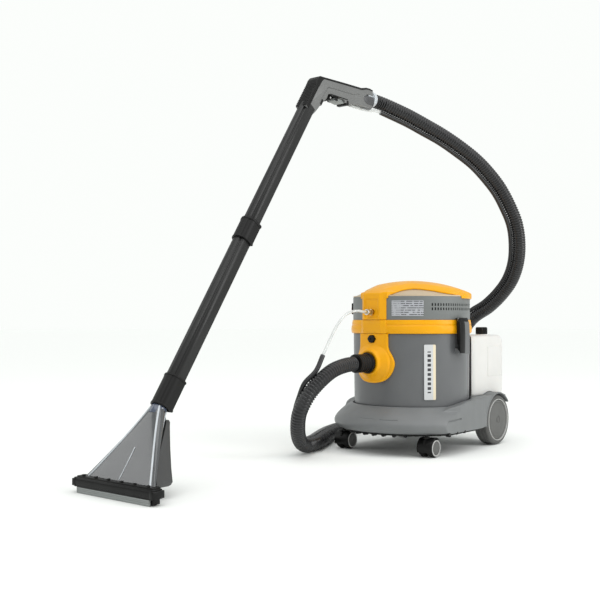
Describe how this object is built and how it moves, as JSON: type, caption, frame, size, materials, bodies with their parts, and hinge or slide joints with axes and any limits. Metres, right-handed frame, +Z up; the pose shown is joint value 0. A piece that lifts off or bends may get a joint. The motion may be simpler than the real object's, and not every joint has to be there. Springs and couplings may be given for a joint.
{
  "type": "carpet cleaner machine",
  "caption": "Spray-extraction carpet cleaner: grey drum with yellow motor head and rear solution tank on casters, with corrugated suction hose and a two-piece floor wand.",
  "frame": {"origin": "on the floor, in the middle of the footprint of the machine with its wand, without the hose", "axes": "+Z up, +X to the machine's left side, +Y from the wand's nozzle towards the solution tank (the machine faces -Y)"},
  "size_m": [0.5576, 1.5682, 1.053],
  "materials": {
    "base_grey": "fine-textured moulded polypropylene",
    "drum_grey": "satin moulded plastic",
    "head_grey": "fine-textured moulded plastic",
    "yellow": "satin moulded plastic, warm yellow",
    "dome_grey": "smooth moulded plastic",
    "black_plastic": "satin moulded plastic",
    "rubber": "matt",
    "tyre_grey": "soft tread, matt",
    "hub_grey": "satin moulded plastic",
    "tank_white": "translucent natural polyethylene",
    "label_cream": "satin film over cream ink",
    "label_silver": "satin printed foil",
    "brass": "machined, slightly worn",
    "steel": "turned",
    "hose_black": "satin corrugated plastic",
    "clear_plastic": "clear, polished",
    "wand_grey": "satin moulded plastic",
    "handle_grey": "fine-textured moulded plastic",
    "lip_grey": "matt brushed lip",
    "switch_red": "polished"
  },
  "bodies": {
    "machine": {"base_chassis": "base_grey", "under_tray": "black_plastic", "rear_axle": "steel", "recovery_drum": "drum_grey", "inlet_fitting": "yellow", "rim_band": "yellow", "drum_badge": "label_cream", "hose_inlet_cuff": "black_plastic", "head_gasket": "rubber", "head_housing": "head_grey", "head_dome": "dome_grey", "handle_cover": "yellow", "data_plate": "label_silver", "vacuum_motor": "steel", "solution_pump": "black_plastic", "float_cage": "black_plastic", "coupler_body": "brass", "switch_bezel": "black_plastic", "cable_gland": "black_plastic", "lower_sleeve": "black_plastic", "lower_tube": "wand_grey", "middle_sleeve": "black_plastic", "upper_tube": "wand_grey", "lower_line_coupling": "black_plastic", "middle_line_coupling": "black_plastic", "wand_handle": "handle_grey", "hose_handle_cuff": "clear_plastic", "spray_valve": "black_plastic", "nozzle_fan": "clear_plastic", "nozzle_bar": "black_plastic", "front_lip": "lip_grey", "rear_lip": "rubber", "spray_hood": "wand_grey", "spray_jet": "brass", "suction_hose": "hose_black", "solution_tube": "clear_plastic"},
    "left_rear_wheel": {"left_wheel_tyre": "tyre_grey", "left_wheel_hub": "hub_grey"},
    "right_rear_wheel": {"right_wheel_tyre": "tyre_grey", "right_wheel_hub": "hub_grey"},
    "left_caster": {"left_caster_fork": "black_plastic"},
    "left_caster_outer": {"left_caster_outer_wheel": "tyre_grey"},
    "left_caster_inner": {"left_caster_inner_wheel": "tyre_grey"},
    "right_caster": {"right_caster_fork": "black_plastic"},
    "right_caster_outer": {"right_caster_outer_wheel": "tyre_grey"},
    "right_caster_inner": {"right_caster_inner_wheel": "tyre_grey"},
    "left_latch": {"left_latch": "head_grey"},
    "right_latch": {"right_latch": "head_grey"},
    "release_button": {"inlet_release_button": "black_plastic"},
    "coupler_collar": {"coupler_collar": "brass"},
    "vacuum_switch": {"vacuum_switch": "switch_red"},
    "pump_switch": {"pump_switch": "switch_red"},
    "fan_rotor": {"fan_rotor": "steel"},
    "float_ball": {"float_ball": "lip_grey"},
    "tank": {"solution_tank": "tank_white", "tank_outlet_valve": "black_plastic"},
    "tank_cap": {"tank_cap": "black_plastic"},
    "spray_trigger": {"spray_trigger": "lip_grey"}
  },
  "joints": [
    {"name": "left_rear_wheel_spin", "type": "hinge", "parent": "machine", "child": "left_rear_wheel", "pos_m": [0.15893, 0.5875, 0.075], "axis": [1, 0, 0], "continuous": true},
    {"name": "left_caster_swivel", "type": "hinge", "parent": "machine", "child": "left_caster", "pos_m": [0.14743, 0.2245, 0.06], "axis": [0, 0, 1], "continuous": true},
    {"name": "left_caster_outer_spin", "type": "hinge", "parent": "left_caster", "child": "left_caster_outer", "pos_m": [0.16093, 0.2375, 0.0255], "axis": [1, 0, 0], "continuous": true},
    {"name": "left_caster_inner_spin", "type": "hinge", "parent": "left_caster", "child": "left_caster_inner", "pos_m": [0.13393, 0.2375, 0.0255], "axis": [1, 0, 0], "continuous": true},
    {"name": "right_rear_wheel_spin", "type": "hinge", "parent": "machine", "child": "right_rear_wheel", "pos_m": [-0.14507, 0.5875, 0.075], "axis": [1, 0, 0], "continuous": true},
    {"name": "right_caster_swivel", "type": "hinge", "parent": "machine", "child": "right_caster", "pos_m": [-0.13357, 0.2245, 0.06], "axis": [0, 0, 1], "continuous": true},
    {"name": "right_caster_outer_spin", "type": "hinge", "parent": "right_caster", "child": "right_caster_outer", "pos_m": [-0.14707, 0.2375, 0.0255], "axis": [1, 0, 0], "continuous": true},
    {"name": "right_caster_inner_spin", "type": "hinge", "parent": "right_caster", "child": "right_caster_inner", "pos_m": [-0.12007, 0.2375, 0.0255], "axis": [1, 0, 0], "continuous": true},
    {"name": "left_latch_swing", "type": "hinge", "parent": "machine", "child": "left_latch", "pos_m": [0.18677, 0.35201, 0.288], "axis": [0.1132, 0.9936, 0], "range_deg": [0, 90]},
    {"name": "right_latch_swing", "type": "hinge", "parent": "machine", "child": "right_latch", "pos_m": [-0.17291, 0.39299, 0.288], "axis": [-0.1132, -0.9936, 0], "range_deg": [0, 90]},
    {"name": "release_button_press", "type": "slide", "parent": "machine", "child": "release_button", "axis": [0.1132, 0.9936, 0], "range_m": [0, 0.003], "stiffness_N_per_m": 300},
    {"name": "coupler_collar_slide", "type": "slide", "parent": "machine", "child": "coupler_collar", "axis": [0.1132, 0.9936, 0], "range_m": [0, 0.005], "stiffness_N_per_m": 400},
    {"name": "vacuum_switch_rock", "type": "hinge", "parent": "machine", "child": "vacuum_switch", "pos_m": [-0.17205, 0.34935, 0.411], "axis": [0.1994, -0.9799, 0], "range_deg": [0, 8]},
    {"name": "pump_switch_rock", "type": "hinge", "parent": "machine", "child": "pump_switch", "pos_m": [-0.16686, 0.32387, 0.411], "axis": [0.1994, -0.9799, 0], "range_deg": [0, 8]},
    {"name": "fan_spin", "type": "hinge", "parent": "machine", "child": "fan_rotor", "pos_m": [0.00693, 0.3725, 0.34], "axis": [0, 0, 1], "continuous": true},
    {"name": "float_rise", "type": "slide", "parent": "machine", "child": "float_ball", "axis": [0, 0, 1], "range_m": [0, 0.016]},
    {"name": "tank_lift", "type": "slide", "parent": "machine", "child": "tank", "axis": [0, 0, 1], "range_m": [0, 0.2]},
    {"name": "tank_cap_turn", "type": "hinge", "parent": "tank", "child": "tank_cap", "pos_m": [0.11593, 0.6075, 0.34], "axis": [0, 0, 1], "range_deg": [0, 270]},
    {"name": "trigger_squeeze", "type": "hinge", "parent": "machine", "child": "spray_trigger", "pos_m": [-0.06807, 0.0835, 0.992], "axis": [1, 0, 0], "range_deg": [0, 6], "stiffness_Nm_per_rad": 1.5}
  ]
}
